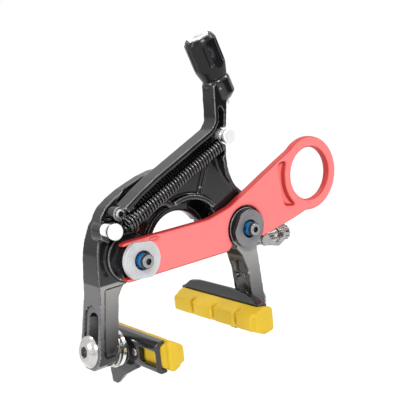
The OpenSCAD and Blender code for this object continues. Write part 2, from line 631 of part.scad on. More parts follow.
module pad_bolt(shank, r) {
  color(silver) difference() {
    union() {
      taper_x(-2.8, -2.1, r - 2.6, r - 1.4);
      taper_x(-2.1, -1.2, r - 1.4, r - 0.4);
      taper_x(-1.2, -0.5, r - 0.4, r);
      rod_x(-0.5, 0, r);
      rod_x(0, shank, pad_bolt_r);
    }
    translate([-4, 0, 0]) rotate([0, 90, 0]) cylinder(h = 4.4, r = 4.4 / sqrt(3), $fn = 6);
  }
}
module pad_bolt_left() at_pad_left() pad_bolt(15.3, 6.6);
module pad_bolt_right() at_pad_right() pad_bolt(9.9, 5.6);
module convex_washer(x0, t, r) {
  color(silver) difference() {
    union() {
      rod_x(x0, x0 + t * 0.5, r);
      taper_x(x0 + t * 0.5, x0 + t, r, r - t);
    }
    rod_x(x0 - 1, x0 + t + 1, pad_bolt_r + run);
  }
}
module concave_washer(x0, t, r) {
  color(silver) difference() {
    rod_x(x0, x0 + t, r);
    rod_x(x0 - 1, x0 + t + 1, pad_bolt_r + run);
  }
}
module convex_washer_left() at_pad_left() convex_washer(leg_t, dish_l, 7.4);
module concave_washer_left() at_pad_left() concave_washer(leg_t + dish_l, dish_l, 7.8);
module convex_washer_right() at_pad_right() convex_washer(leg_rt, dish_r, 6.8);
module concave_washer_right() at_pad_right() concave_washer(leg_rt + dish_r, dish_r, 7.2);

module pad_holder_right() {
  color(black)
  difference() {
    union() {
      translate(hr) mirror([1, 0, 0]) holder(-8, 45.6, -43.5, -31.3, [4.2, 3, 19]);
      translate(hr) mirror([1, 0, 0]) crown(-31.3);
      intersection() {
        at_pad_right() rod_x(sr, sr + 4, 6);
        slab(-5, 40) translate([hr[0] - 2, -60]) square([20, 40]);
      }
    }
    at_pad_right() rod_x(0, 10, pad_bolt_r);
    translate([0, 20, screw_z]) rod_x(hr[0] - 3, hr[0] + 1, 1.5);
  }
}
module brake_pad_right() {
  color(yellow)
  difference() {
    union() {
      translate(hr) mirror([1, 0, 0])
        pad_block(-12, -12.1 + pad_len, -43.5, -31.3, -40.4, -34, 12.4, [0, 15, 29.5]);
      translate(hr) mirror([1, 0, 0]) pad_tail();
    }
    translate([0, 20, screw_z]) rod_x(hr[0] - 4, hr[0] + 1, 1.55);
  }
}
module pad_screw_right() {
  color(silver) translate([0, 20, screw_z]) difference() {
    rod_x(hr[0] - 3.9, hr[0] + 0.5, 1.5);
    rotate([0, 90, 0]) translate([0, 0, hr[0] - 0.8]) cylinder(h = 1.8, r = 0.85, $fn = 6);
  }
}

brace();
washer_left();
washer_right();
pivot_bolt_left();
pivot_bolt_right();
bushing_left();
bushing_right();
front_washer_left();
front_washer_right();
arm_left();
spring_post_left();
centring_screw();
anchor_bolt();
anchor_sleeve();
release_pin();
release_lever();
arm_right();
spring_post_right();
tail_pin();
roller_pin();
cam_roller();
return_spring();
housing_stop();
adjuster_knob();
pad_holder_left();
brake_pad_left();
pad_screw_left();
pad_bolt_left();
convex_washer_left();
concave_washer_left();
pad_holder_right();
brake_pad_right();
pad_screw_right();
pad_bolt_right();
convex_washer_right();
concave_washer_right();
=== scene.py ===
import json
import math

import bmesh
import bpy
from mathutils import Matrix, Vector


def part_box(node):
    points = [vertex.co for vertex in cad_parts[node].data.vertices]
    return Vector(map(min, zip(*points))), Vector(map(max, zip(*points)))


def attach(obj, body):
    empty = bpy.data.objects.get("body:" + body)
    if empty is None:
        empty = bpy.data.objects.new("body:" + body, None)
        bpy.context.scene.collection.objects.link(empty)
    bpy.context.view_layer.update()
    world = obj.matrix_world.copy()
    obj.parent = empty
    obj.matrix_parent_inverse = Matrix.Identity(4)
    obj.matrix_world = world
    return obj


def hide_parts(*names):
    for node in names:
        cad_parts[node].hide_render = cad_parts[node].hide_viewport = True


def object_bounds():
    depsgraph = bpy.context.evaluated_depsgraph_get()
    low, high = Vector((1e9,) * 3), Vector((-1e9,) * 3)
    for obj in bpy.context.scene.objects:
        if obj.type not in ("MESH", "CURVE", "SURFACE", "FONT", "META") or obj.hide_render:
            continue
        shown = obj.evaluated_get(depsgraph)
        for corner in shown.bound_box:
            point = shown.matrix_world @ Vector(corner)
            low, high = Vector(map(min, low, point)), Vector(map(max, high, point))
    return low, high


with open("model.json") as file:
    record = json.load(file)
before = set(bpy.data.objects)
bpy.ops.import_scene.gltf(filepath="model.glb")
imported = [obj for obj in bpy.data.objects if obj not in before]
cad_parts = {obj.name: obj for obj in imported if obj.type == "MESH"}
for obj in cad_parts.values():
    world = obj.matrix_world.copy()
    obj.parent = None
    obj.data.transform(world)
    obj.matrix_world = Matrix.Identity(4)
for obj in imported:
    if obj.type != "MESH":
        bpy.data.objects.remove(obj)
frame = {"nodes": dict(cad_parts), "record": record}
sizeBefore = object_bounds()
nodes = frame["nodes"]
millimetre = 0.001
pivotX = 28 * millimetre
weldGap = 2e-6  # joins the doubled corners of the CAD meshes
touchGap = 1e-7  # joins corners that lie in one place after a modifier
skinRelief = 0.0002  # distance of the bump on painted, cast and moulded skin
lineRelief = 0.0001  # the same on turned metal
coatRoughness = 0.05
blotchRange = (0.35, 0.65)  # part of the slow noise over which a colour drifts
roughRange = (0.3, 0.7)  # part of a noise over which roughness drifts
print("stage: frame loaded,", len(nodes), "nodes")


# shared shader groups: each puts out only values and colours
def newGroup(name, inputs, outputs):
    group = bpy.data.node_groups.new(name, "ShaderNodeTree")
    for label, kind, value in inputs:
        socket = group.interface.new_socket(name=label, in_out="INPUT", socket_type=kind)
        socket.default_value = value
    for label, kind in outputs:
        group.interface.new_socket(name=label, in_out="OUTPUT", socket_type=kind)
    inside = group.nodes.new("NodeGroupInput")
    outside = group.nodes.new("NodeGroupOutput")
    return group, inside, outside


def addNode(tree, kind, **values):
    # each value is an option of the node or one of its inputs
    node = tree.nodes.new(kind)
    for key, value in values.items():
        if hasattr(node, key):
            setattr(node, key, value)
        else:
            node.inputs[key.title()].default_value = value
    return node


def addMath(tree, operation, first, second=None, clamp=False):
    # one step of arithmetic on sockets or numbers
    node = addNode(tree, "ShaderNodeMath", operation=operation, use_clamp=clamp)
    for index, value in enumerate((first, second)):
        if hasattr(value, "is_output"):
            tree.links.new(value, node.inputs[index])
        elif value is not None:
            node.inputs[index].default_value = value
    return node.outputs[0]


def makeSurfaceGrain():
    # fine unevenness of cast, blasted or moulded skin: a height and a slow blotch mask
    group, inside, outside = newGroup(
        "surfaceGrain",
        [("Scale", "NodeSocketFloat", 1500.0), ("Blotch Scale", "NodeSocketFloat", 90.0)],
        [("Height", "NodeSocketFloat"), ("Blotch", "NodeSocketFloat")])
    coord = addNode(group, "ShaderNodeTexCoord")
    fine = addNode(group, "ShaderNodeTexNoise", detail=3.0, roughness=0.55)
    slow = addNode(group, "ShaderNodeTexNoise", detail=4.0, roughness=0.6)
    link = group.links.new
    link(coord.outputs["Object"], fine.inputs["Vector"])
    link(coord.outputs["Object"], slow.inputs["Vector"])
    link(inside.outputs["Scale"], fine.inputs["Scale"])
    link(inside.outputs["Blotch Scale"], slow.inputs["Scale"])
    link(fine.outputs["Fac"], outside.inputs["Height"])
    link(slow.outputs["Fac"], outside.inputs["Blotch"])
    return group


edgePointinessStart = 0.52  # pointiness where an edge begins; a flat face has 0.5


def makeEdgeWearAndHighlight():
    # pointed edges where a coating is polished through or catches dust; on the arms the same mask lays a
    # painted highlight along the edges
    group, inside, outside = newGroup(
        "edgeWearAndHighlight",
        [("Sharpness", "NodeSocketFloat", 14.0), ("Breakup", "NodeSocketFloat", 700.0)],
        [("Mask", "NodeSocketFloat")])
    geometry = addNode(group, "ShaderNodeNewGeometry")
    coord = addNode(group, "ShaderNodeTexCoord")
    noise = addNode(group, "ShaderNodeTexNoise", detail=3.0)
    link = group.links.new
    link(coord.outputs["Object"], noise.inputs["Vector"])
    link(inside.outputs["Breakup"], noise.inputs["Scale"])
    lift = addMath(group, "SUBTRACT", geometry.outputs["Pointiness"], edgePointinessStart)
    gain = addMath(group, "MULTIPLY", lift, inside.outputs["Sharpness"], clamp=True)
    mask = addMath(group, "MULTIPLY", gain, noise.outputs["Fac"], clamp=True)
    link(mask, outside.inputs["Mask"])
    return group


def makeBrushLines():
    # long fine lines of turned or machined metal; Stretch squeezes the pattern across them
    group, inside, outside = newGroup(
        "brushLines",
        [("Stretch", "NodeSocketVector", (1.0, 1.0, 1.0)), ("Scale", "NodeSocketFloat", 900.0)],
        [("Height", "NodeSocketFloat")])
    coord = addNode(group, "ShaderNodeTexCoord")
    scale = addNode(group, "ShaderNodeVectorMath", operation="MULTIPLY")
    noise = addNode(group, "ShaderNodeTexNoise", detail=2.0)
    link = group.links.new
    link(coord.outputs["Object"], scale.inputs[0])
    link(inside.outputs["Stretch"], scale.inputs[1])
    link(scale.outputs[0], noise.inputs["Vector"])
    link(inside.outputs["Scale"], noise.inputs["Scale"])
    link(noise.outputs["Fac"], outside.inputs["Height"])
    return group


surfaceGrain = makeSurfaceGrain()
edgeWearAndHighlight = makeEdgeWearAndHighlight()
brushLines = makeBrushLines()


# helpers for materials
def startMaterial(name, roughness, metallic=0.0, coat=0.0, ior=1.5):
    material = bpy.data.materials.new(name)
    material.use_nodes = True
    shader = material.node_tree.nodes["Principled BSDF"]
    shader.inputs["Roughness"].default_value = roughness
    shader.inputs["Metallic"].default_value = metallic
    shader.inputs["Coat Weight"].default_value = coat
    shader.inputs["Coat Roughness"].default_value = coatRoughness
    shader.inputs["IOR"].default_value = ior
    return material, shader


def placeGroup(material, group, values):
    node = material.node_tree.nodes.new("ShaderNodeGroup")
    node.node_tree = group
    for key, value in values.items():
        node.inputs[key].default_value = value
    return node


def placeGrain(material, scale, blotchScale):
    return placeGroup(material, surfaceGrain, {"Scale": scale, "Blotch Scale": blotchScale})


def splitCoordinate(material, kind):
    # the X, Y and Z of a place or of a facing direction on the piece itself
    coord = addNode(material.node_tree, "ShaderNodeTexCoord")
    split = addNode(material.node_tree, "ShaderNodeSeparateXYZ")
    material.node_tree.links.new(coord.outputs[kind], split.inputs[0])
    return split.outputs


def mixColours(material, factorSocket, colourA, colourB):
    mix = addNode(material.node_tree, "ShaderNodeMix", data_type="RGBA")
    material.node_tree.links.new(factorSocket, mix.inputs["Factor"])
    for socket, colour in ((mix.inputs["A"], colourA), (mix.inputs["B"], colourB)):
        if hasattr(colour, "is_output"):
            material.node_tree.links.new(colour, socket)
        else:
            socket.default_value = (*colour, 1.0)
    return mix.outputs["Result"]


def remap(material, socket, low, high, toLow, toHigh):
    node = addNode(material.node_tree, "ShaderNodeMapRange", clamp=True)
    material.node_tree.links.new(socket, node.inputs["Value"])
    for key, value in (("From Min", low), ("From Max", high), ("To Min", toLow), ("To Max", toHigh)):
        node.inputs[key].default_value = value
    return node.outputs["Result"]


def multiply(material, *factors):
    total = factors[0]
    for factor in factors[1:]:
        total = addMath(material.node_tree, "MULTIPLY", total, factor)
    return total


def addBump(material, shader, heightSocket, strength, distance):
    bump = addNode(material.node_tree, "ShaderNodeBump")
    bump.inputs["Strength"].default_value = strength
    bump.inputs["Distance"].default_value = distance
    material.node_tree.links.new(heightSocket, bump.inputs["Height"])
    material.node_tree.links.new(bump.outputs["Normal"], shader.inputs["Normal"])


def makeCoated(name, colour, worn, roughness, coat=0.0, grainScale=1400.0, bump=0.05,
               roughSpread=0.06, blotchScale=90.0, colourSpread=0.2, ior=1.5, sharpness=14.0):
    # painted, anodised or moulded skin: colour drifts a little, edges are polished
    material, shader = startMaterial(name, roughness, coat=coat, ior=ior)
    grain = placeGrain(material, grainScale, blotchScale)
    edgeMarks = placeGroup(material, edgeWearAndHighlight, {"Sharpness": sharpness})
    lighter = tuple(min(1.0, channel * (1 + colourSpread)) for channel in colour)
    drift = mixColours(material, remap(material, grain.outputs["Blotch"], *blotchRange, 0, 1),
                       colour, lighter)
    finalColour = mixColours(material, edgeMarks.outputs["Mask"], drift, worn)
    link = material.node_tree.links.new
    link(finalColour, shader.inputs["Base Color"])
    link(remap(material, grain.outputs["Blotch"], *roughRange, roughness - roughSpread / 2,
               roughness + roughSpread / 2), shader.inputs["Roughness"])
    addBump(material, shader, grain.outputs["Height"], bump, skinRelief)
    return material


metalSettings = {"grainScale": 2500.0, "blotchScale": 160.0, "tarnishRange": (0.35, 0.7),
                 "roughShares": (0.8, 1.25)}


def makeMetal(name, colour, tarnish, roughness, stretch=(1, 1, 1), bump=0.08, metallic=1.0):
    # bare metal with fine lines, its colour drifting towards tarnish
    material, shader = startMaterial(name, roughness, metallic=metallic)
    grain = placeGrain(material, metalSettings["grainScale"], metalSettings["blotchScale"])
    lines = placeGroup(material, brushLines, {"Stretch": stretch})
    tarnished = remap(material, grain.outputs["Blotch"], *metalSettings["tarnishRange"], 0, 1)
    roughEnds = [roughness * share for share in metalSettings["roughShares"]]
    link = material.node_tree.links.new
    link(mixColours(material, tarnished, colour, tarnish), shader.inputs["Base Color"])
    link(remap(material, lines.outputs["Height"], *roughRange, *roughEnds), shader.inputs["Roughness"])
    addBump(material, shader, lines.outputs["Height"], bump, lineRelief)
    return material


waveTurnsFactor = 20  # the wave texture multiplies its coordinate by this


def addThread(material, pitch):
    # rings one pitch apart along Y, as the crests of a fine thread
    coord = addNode(material.node_tree, "ShaderNodeTexCoord")
    wave = addNode(material.node_tree, "ShaderNodeTexWave", bands_direction="Y")
    wave.inputs["Scale"].default_value = math.tau / (waveTurnsFactor * pitch)
    material.node_tree.links.new(coord.outputs["Object"], wave.inputs["Vector"])
    return wave.outputs["Fac"]


# finish of the pivot bolts; each pair of places in metres is a soft border of the thread lock,
# of the bright tip or of the thread, along Y, or along X from the bolt's axis for the lock's side
boltSettings = {"roughness": 0.3, "metallic": 0.6, "black": (0.018, 0.018, 0.02), "tip": (0.30, 0.30, 0.31),
                "lock": (0.015, 0.17, 0.42), "lockStart": (-0.0024, -0.0020), "lockEnd": (0.0006, 0.001),
                "lockSide": (-0.0004, 0.0006), "lockPatches": (0.38, 0.44), "tipEnd": (0.0003, 0.0005),
                "threadEnd": (-0.0005, 0), "pitch": 0.001, "bump": 0.7, "relief": 0.0004,
                "grainScale": 1800.0, "blotchScale": 420.0}


def makeBoltFinish(name, centreX, tipY, settings):
    # blackened steel with a blue thread lock patch round the threads inside the washer
    material, shader = startMaterial(name, settings["roughness"], metallic=settings["metallic"])
    link = material.node_tree.links.new
    place = splitCoordinate(material, "Object")
    grain = placeGrain(material, settings["grainScale"], settings["blotchScale"])
    sideBorder = [centreX + offset for offset in settings["lockSide"]]
    tipBorder = [tipY + offset for offset in settings["tipEnd"]]
    lock = multiply(material, remap(material, place["Y"], *settings["lockStart"], 0, 1),
                    remap(material, place["Y"], *settings["lockEnd"], 1, 0),
                    remap(material, place["X"], *sideBorder, 1, 0),
                    remap(material, grain.outputs["Blotch"], *settings["lockPatches"], 0, 1))
    steel = mixColours(material, remap(material, place["Y"], *tipBorder, 1, 0),
                       settings["black"], settings["tip"])
    link(mixColours(material, lock, steel, settings["lock"]), shader.inputs["Base Color"])
    bareMetal = addMath(material.node_tree, "SUBTRACT", settings["metallic"], lock, clamp=True)
    link(bareMetal, shader.inputs["Metallic"])
    threadHeight = multiply(material, addThread(material, settings["pitch"]),
                            remap(material, place["Y"], *settings["threadEnd"], 1, 0))
    addBump(material, shader, threadHeight, settings["bump"], settings["relief"])
    return material


# finish of the arms; heights are metres along Z, and facing values are parts of the normal
# on the arms the "edge" colour is a painted highlight laid along pointed edges
armPaint = {"gloss": 0.14, "satin": 0.42, "satinFull": 0.6, "black": (0.008, 0.008, 0.009),
            "edge": (0.55, 0.55, 0.57), "sharpness": 26.0, "breakup": 160.0, "bump": 0.03,
            "grainScale": 1600.0, "blotchScale": 90.0, "legFoot": -0.036, "footShade": 0.03,
            "border": 0.0006, "rearFacing": (-0.96, -0.9), "outerFacing": (0.75, 0.93)}
# the grey of the outward sides is painted light, lighter on the left arm than on the right
armLeftPaint = dict(armPaint, rearTop=-0.009, rearGrey=(0.34, 0.335, 0.33),
                    litSideGrey=(0.11, 0.11, 0.115), outerSide=-1)
armRightPaint = dict(armPaint, rearTop=-0.004, rearGrey=(0.36, 0.355, 0.35),
                     litSideGrey=(0.05, 0.05, 0.055), outerSide=1)


def makeArmFinish(name, settings):
    # gloss black forging; its machined rear face is satin grey, with painted shade darkening it down the
    # leg, painted light as grey on the outward sides and a painted highlight along pointed edges
    material, shader = startMaterial(name, settings["gloss"])
    link = material.node_tree.links.new
    place = splitCoordinate(material, "Object")
    facing = splitCoordinate(material, "Normal")
    grain = placeGrain(material, settings["grainScale"], settings["blotchScale"])
    edgeMarks = placeGroup(material, edgeWearAndHighlight,
                      {"Sharpness": settings["sharpness"], "Breakup": settings["breakup"]})
    rearTop = settings["rearTop"]
    below = remap(material, place["Z"], rearTop - settings["border"], rearTop, 1, 0)
    # painted shade: the grey rear face darkens towards footShade down the leg
    paintedLegShade = remap(material, place["Z"], settings["legFoot"], rearTop, settings["footShade"], 1)
    rear = multiply(material, remap(material, facing["Y"], *settings["rearFacing"], 1, 0), below, paintedLegShade)
    outerFacing = [settings["outerSide"] * share for share in settings["outerFacing"]]
    # painted light: the sides facing outward along X are coloured a lighter grey
    outer = multiply(material, remap(material, facing["X"], *outerFacing, 0, 1), below)
    # painted highlight: the edge colour along pointed edges, through the same mask that marks wear on other
    # pieces
    black = mixColours(material, edgeMarks.outputs["Mask"], settings["black"], settings["edge"])
    sides = mixColours(material, outer, black, settings["litSideGrey"])
    link(mixColours(material, rear, sides, settings["rearGrey"]), shader.inputs["Base Color"])
    satin = addMath(material.node_tree, "MAXIMUM", rear, outer)
    link(remap(material, satin, 0, settings["satinFull"], settings["gloss"], settings["satin"]),
         shader.inputs["Roughness"])
    addBump(material, shader, grain.outputs["Height"], settings["bump"], skinRelief)
    return material


# the "turned" deep red is painted shade on the brace's rounded edges
braceRedSettings = {"face": (0.86, 0.18, 0.175), "turned": (0.44, 0.018, 0.015), "lift": 1.06,
                    "edgeShadeRange": (0.72, 0.985), "roughness": 0.5, "roughEnds": (0.46, 0.54),
                    "grainScale": 1100.0, "blotchScale": 120.0, "bump": 0.1}


def makeBraceRed(settings):
    # moulded red plastic, pale on its flat faces; painted shade makes it deep red where its edges turn away
    # from the light
    material, shader = startMaterial("braceRed", settings["roughness"])
    link = material.node_tree.links.new
    facing = splitCoordinate(material, "Normal")
    grain = placeGrain(material, settings["grainScale"], settings["blotchScale"])
    lifted = tuple(channel * settings["lift"] for channel in settings["face"])
    flat = mixColours(material, remap(material, grain.outputs["Blotch"], *blotchRange, 0, 1),
                      settings["face"], lifted)
    flatness = addMath(material.node_tree, "ABSOLUTE", facing["Y"])
    # painted shade: deep red where the faces turn away from the flat rear and front
    edge = remap(material, flatness, *settings["edgeShadeRange"], 1, 0)
    link(mixColours(material, edge, flat, settings["turned"]), shader.inputs["Base Color"])
    link(remap(material, grain.outputs["Blotch"], *roughRange, *settings["roughEnds"]),
         shader.inputs["Roughness"])
    addBump(material, shader, grain.outputs["Height"], settings["bump"], skinRelief)
    return material


# the finishes of this brake
armLeftFinish = makeArmFinish("armLeftFinish", armLeftPaint)
armRightFinish = makeArmFinish("armRightFinish", armRightPaint)
holderBlack = makeCoated("holderBlack", (0.010, 0.010, 0.011), (0.04, 0.04, 0.045), 0.18,
                         coat=0.2, bump=0.03)
braceRed = makeBraceRed(braceRedSettings)
padYellow = makeCoated("padYellow", (0.62, 0.41, 0.012), (0.74, 0.52, 0.05), 0.62, bump=0.22,
                       roughSpread=0.1, colourSpread=0.08, grainScale=1700.0, blotchScale=140.0)
knobBlack = makeCoated("knobBlack", (0.006, 0.006, 0.007), (0.12, 0.12, 0.13), 0.26, bump=0.06,
                       roughSpread=0.1, grainScale=1900.0, ior=1.33, sharpness=22.0)
rollerBlack = makeCoated("rollerBlack", (0.02, 0.02, 0.02), (0.05, 0.05, 0.05), 0.35, bump=0.05)
bushingBlack = makeCoated("bushingBlack", (0.012, 0.012, 0.013), (0.05, 0.05, 0.055), 0.22,
                          coat=0.4, bump=0.03)
polishedSteel = makeMetal("polishedSteel", (0.80, 0.80, 0.80), (0.70, 0.70, 0.69), 0.2)
postSteel = makeMetal("postSteel", (0.90, 0.90, 0.89), (0.82, 0.82, 0.81), 0.35, metallic=0.4)
brightWasher = makeMetal("brightWasher", (0.60, 0.60, 0.61), (0.50, 0.50, 0.52), 0.42,
                         stretch=(1, 0.1, 1), bump=0.05, metallic=0.35)
# the same washer steel painted darker for the right washer, a painted shade
shadedWasherGrey = makeMetal("shadedWasherGrey", (0.24, 0.24, 0.25), (0.19, 0.19, 0.2), 0.38,
                       stretch=(1, 0.1, 1), bump=0.05, metallic=0.5)
washerSideShade = makeCoated("washerSideShade", (0.012, 0.012, 0.012), (0.05, 0.05, 0.05), 0.3, bump=0.04)
springWire = makeMetal("springWire", (0.13, 0.13, 0.135), (0.07, 0.07, 0.075), 0.2)
boltSteel = makeMetal("boltSteel", (0.56, 0.55, 0.54), (0.46, 0.45, 0.44), 0.22)
castSteel = makeMetal("castSteel", (0.42, 0.41, 0.40), (0.30, 0.29, 0.28), 0.28)
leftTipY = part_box("pivot_bolt_left")[0][1]
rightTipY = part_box("pivot_bolt_right")[0][1]
boltLeftFinish = makeBoltFinish("boltLeftFinish", -pivotX, leftTipY, boltSettings)
boltRightFinish = makeBoltFinish("boltRightFinish", pivotX, rightTipY, boltSettings)
print("stage: materials made,", len(bpy.data.materials))


# helpers for pieces
def addObject(name, data):
    added = bpy.data.objects.new(name, data)
    bpy.context.scene.collection.objects.link(added)
    return added


def linkMesh(name, bm, materials, body, smoothAngle):
    mesh = bpy.data.meshes.new(name)
    bmesh.ops.remove_doubles(bm, verts=bm.verts, dist=touchGap)
    bmesh.ops.recalc_face_normals(bm, faces=bm.faces)
    for face in bm.faces:
        face.smooth = True
    limit = math.radians(smoothAngle)
    for edge in bm.edges:
        if len(edge.link_faces) == 2 and edge.calc_face_angle(0) > limit:
            edge.smooth = False
    bm.to_mesh(mesh)
    bm.free()
    piece = addObject(name, mesh)
    for material in materials:
        mesh.materials.append(material)
    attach(piece, body)
    return piece


def dressNode(name, material):
    mesh = nodes[name].data
    mesh.materials.clear()
    mesh.materials.append(material)


def bodyOf(nodeName):
    for body, members in frame["record"]["behaviour"]["bodies"].items():
        if nodeName in members:
            return body


def evaluatedShape(source):
    # the mesh that an object's modifiers or curve settings give; the object itself is removed
    bpy.context.view_layer.update()
    evaluated = source.evaluated_get(bpy.context.evaluated_depsgraph_get())
    bm = bmesh.new()
    bm.from_mesh(bpy.data.meshes.new_from_object(evaluated))
    bpy.data.objects.remove(source)
    return bm


# angles in degrees and gaps in millimetres; nearly flat faces are joined before the bevel
bevelSettings = {"flatAngle": 0.6, "mergeGap": 0.06, "sliverGap": 0.001, "bevelAngle": 32,
                 "normalWeight": 60}


def roundedCopy(nodeName, newName, settings, paint=None):
    # the CAD solid with its edges broken, as a turned or stamped piece has them
    bm = bmesh.new()
    bm.from_mesh(nodes[nodeName].data)
    bmesh.ops.remove_doubles(bm, verts=bm.verts, dist=weldGap)
    bmesh.ops.dissolve_limit(bm, angle_limit=math.radians(bevelSettings["flatAngle"]),
                             verts=bm.verts, edges=bm.edges, delimit={"NORMAL"})
    bmesh.ops.remove_doubles(bm, verts=bm.verts, dist=bevelSettings["mergeGap"] * millimetre)
    bmesh.ops.dissolve_degenerate(bm, edges=bm.edges, dist=bevelSettings["sliverGap"] * millimetre)
    bmesh.ops.triangulate(bm, faces=[face for face in bm.faces if len(face.verts) > 4],
                          quad_method="BEAUTY", ngon_method="BEAUTY")
    bmesh.ops.recalc_face_normals(bm, faces=bm.faces)
    for face in bm.faces:
        face.material_index = paint(face) if paint else 0
        face.smooth = True
    mesh = bpy.data.meshes.new(newName)
    bm.to_mesh(mesh)
    bm.free()
    piece = addObject(newName, mesh)
    for material in settings["materials"]:
        mesh.materials.append(material)
    bevel = piece.modifiers.new("edges", "BEVEL")
    bevel.width = settings["radius"] * millimetre
    bevel.segments = settings["segments"]
    bevel.limit_method = "ANGLE"
    bevel.angle_limit = math.radians(bevelSettings["bevelAngle"])
    bevel.use_clamp_overlap = False
    weighted = piece.modifiers.new("normals", "WEIGHTED_NORMAL")
    weighted.keep_sharp = True
    weighted.weight = bevelSettings["normalWeight"]
    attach(piece, bodyOf(nodeName))
    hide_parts(nodeName)


forgeSettings = {"softenFactor": 0.5, "smoothAngle": 80.0}


def forgedCopy(nodeName, newName, settings):
    # the CAD solid with every edge flowing over, as forged and moulded pieces have them:
    # remade in small cells, smoothed, then thinned to a share of its faces
    bm = bmesh.new()
    bm.from_mesh(nodes[nodeName].data)
    bmesh.ops.remove_doubles(bm, verts=bm.verts, dist=weldGap)
    blankMesh = bpy.data.meshes.new(newName + "Blank")
    bm.to_mesh(blankMesh)
    bm.free()
    blank = addObject(newName + "Blank", blankMesh)
    cells = blank.modifiers.new("cells", "REMESH")
    cells.mode = "VOXEL"
    cells.voxel_size = settings["cell"] * millimetre
    soften = blank.modifiers.new("soften", "SMOOTH")
    soften.factor = forgeSettings["softenFactor"]
    soften.iterations = settings["soften"]
    thin = blank.modifiers.new("thin", "DECIMATE")
    thin.ratio = settings["keep"]
    piece = linkMesh(newName, evaluatedShape(blank), settings["materials"], bodyOf(nodeName),
                     forgeSettings["smoothAngle"])
    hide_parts(nodeName)


# arms; cell is in millimetres
armSettings = {"cell": 0.36, "soften": 9, "keep": 0.6}
forgedCopy("arm_left", "leftArm", dict(armSettings, materials=[armLeftFinish]))
forgedCopy("arm_right", "rightArm", dict(armSettings, materials=[armRightFinish]))
print("stage: arms")

# brace
braceSettings = {"cell": 0.4, "soften": 60, "keep": 0.45, "materials": [braceRed]}
forgedCopy("brace", "braceClip", braceSettings)
print("stage: brace")

# pads and holders
holderSettings = {"cell": 0.27, "soften": 9, "keep": 0.45, "materials": [holderBlack]}
padSettings = {"cell": 0.35, "soften": 40, "keep": 0.45, "materials": [padYellow]}
for side in ("left", "right"):
    forgedCopy("pad_holder_" + side, "padHolder" + side.title(), holderSettings)
    forgedCopy("brake_pad_" + side, "brakePad" + side.title(), padSettings)
print("stage: pads and holders")

# adjuster
knobSettings = {"cell": 0.22, "soften": 12, "keep": 0.45, "materials": [knobBlack]}
forgedCopy("adjuster_knob", "adjusterGrip", knobSettings)
stopSettings = {"radius": 0.15, "segments": 2, "materials": [postSteel]}
roundedCopy("housing_stop", "housingFerrule", stopSettings)
print("stage: adjuster")

# washers; the right one is painted darker than the left, grey faces and near-black sides, as painted shade
washerSettings = {"radius": 0.2, "segments": 2}
faceFlatness = 0.9
roundedCopy("washer_left", "rearWasherLeft", dict(washerSettings, materials=[brightWasher]))


def paintRightWasher(face):
    # painted shade: flat faces get the darker washer grey, the sides near black
    return 0 if abs(face.normal.y) > faceFlatness else 1


roundedCopy("washer_right", "rearWasherRight",
            dict(washerSettings, materials=[shadedWasherGrey, washerSideShade]), paintRightWasher)

# bolts, pins and the rest of the hardware
plainFinishes = {
    "pivot_bolt_left": boltLeftFinish, "pivot_bolt_right": boltRightFinish,
    "bushing_left": bushingBlack, "bushing_right": bushingBlack,
    "front_washer_left": brightWasher, "front_washer_right": brightWasher,
    "spring_post_left": postSteel, "spring_post_right": postSteel,
    "centring_screw": polishedSteel, "anchor_bolt": castSteel, "anchor_sleeve": castSteel,
    "release_pin": castSteel, "release_lever": castSteel, "tail_pin": polishedSteel,
    "roller_pin": polishedSteel, "cam_roller": rollerBlack, "return_spring": springWire,
    "pad_screw_left": polishedSteel, "pad_screw_right": polishedSteel,
    "pad_bolt_left": boltSteel, "pad_bolt_right": boltSteel,
    "convex_washer_left": boltSteel, "concave_washer_left": polishedSteel,
    "convex_washer_right": boltSteel, "concave_washer_right": polishedSteel,
}
for nodeName, finish in plainFinishes.items():
    dressNode(nodeName, finish)
print("stage: hardware")


# return spring: one wire wound round its axis, with a hook over each post, in millimetres
springSettings = {"turns": 38, "coilRadius": 2.5, "wireRadius": 0.5, "stepsPerTurn": 20, "depth": 2.8,
                  "postLower": (-38.5, 13.7), "postUpper": (21.9, 41.0), "hookRadius": 2.45,
                  "hookSweep": 190, "hookSteps": 14, "lowerStart": 120, "upperStart": 195,
                  "coilStart": (-32.0, 14.5), "coilEnd": (18.4, 37.9), "coilAngle": 90,
                  "leadLength": 1.6, "leadOffset": (0, 0.6, -0.6), "tailLength": 1.2,
                  "tailOffset": (0, 1.2, -0.3), "wireResolution": 2, "smoothAngle": 60.0}


def hookPoints(post, firstAngle, settings):
    points = []
    for i in range(settings["hookSteps"] + 1):
        angle = math.radians(firstAngle + settings["hookSweep"] * i / settings["hookSteps"])
        points.append(Vector((post[0] + settings["hookRadius"] * math.cos(angle), settings["depth"],
                              post[1] + settings["hookRadius"] * math.sin(angle))))
    return points


def springPath(settings):
    start = Vector((settings["coilStart"][0], settings["depth"], settings["coilStart"][1]))
    end = Vector((settings["coilEnd"][0], settings["depth"], settings["coilEnd"][1]))
    along = (end - start).normalized()
    forward = Vector((0, 1, 0))
    across = along.cross(forward)
    coil = []
    count = settings["turns"] * settings["stepsPerTurn"]
    for i in range(count + 1):
        angle = math.radians(settings["coilAngle"]) + 2 * math.pi * settings["turns"] * i / count
        coil.append(start.lerp(end, i / count) + settings["coilRadius"]
                    * (math.cos(angle) * across + math.sin(angle) * forward))
    lead = start - along * settings["leadLength"] + Vector(settings["leadOffset"])
    tail = end + along * settings["tailLength"] + Vector(settings["tailOffset"])
    lower = hookPoints(settings["postLower"], settings["lowerStart"], settings)
    upper = hookPoints(settings["postUpper"], settings["upperStart"], settings)
    return lower + [lead] + coil + [tail] + upper


